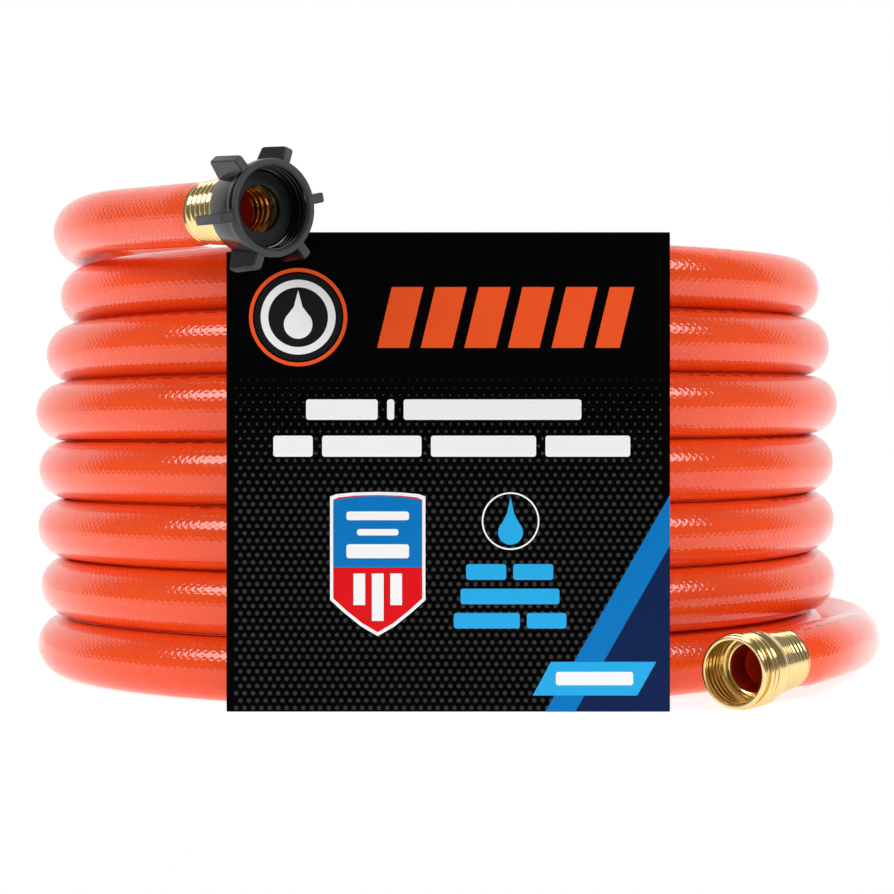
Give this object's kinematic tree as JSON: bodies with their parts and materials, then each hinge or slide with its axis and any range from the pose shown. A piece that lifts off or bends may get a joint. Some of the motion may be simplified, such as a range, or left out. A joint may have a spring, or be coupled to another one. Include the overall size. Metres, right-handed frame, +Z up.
{
  "type": "coiled clean-out hose",
  "caption": "Reinforced hose stacked in one round coil inside a folded card sleeve, with a crimped brass male end and a brass coupling with a plastic swivel nut.",
  "frame": {"origin": "on the floor, under the middle of the whole object's box", "axes": "+Z up along the coil's axis, -Y towards the front of the card sleeve, +X to the sleeve's right as it is read"},
  "size_m": [0.3546, 0.4017, 0.1913],
  "materials": {
    "hose_pvc": "satin",
    "nut_plastic": "satin",
    "washer_rubber": "matte",
    "brass": "polished",
    "printed_card": "satin"
  },
  "bodies": {
    "hose": {"hose_coil": "hose_pvc", "hose_head": "hose_pvc", "hose_tail": "hose_pvc", "female_stem": "brass", "female_ferrule": "brass", "male_stem": "brass", "male_ferrule": "brass", "sleeve_front": "printed_card", "sleeve_top": "printed_card", "sleeve_back": "printed_card", "sleeve_base": "printed_card", "sleeve_glue_flap": "printed_card"},
    "coupling_nut": {"swivel_nut": "nut_plastic", "seal_washer": "washer_rubber"}
  },
  "joints": [
    {"name": "nut_swivel", "type": "hinge", "parent": "hose", "child": "coupling_nut", "pos_m": [-0.06671, -0.18879, 0.16944], "axis": [0.6205, -0.7835, -0.0347], "continuous": true}
  ]
}
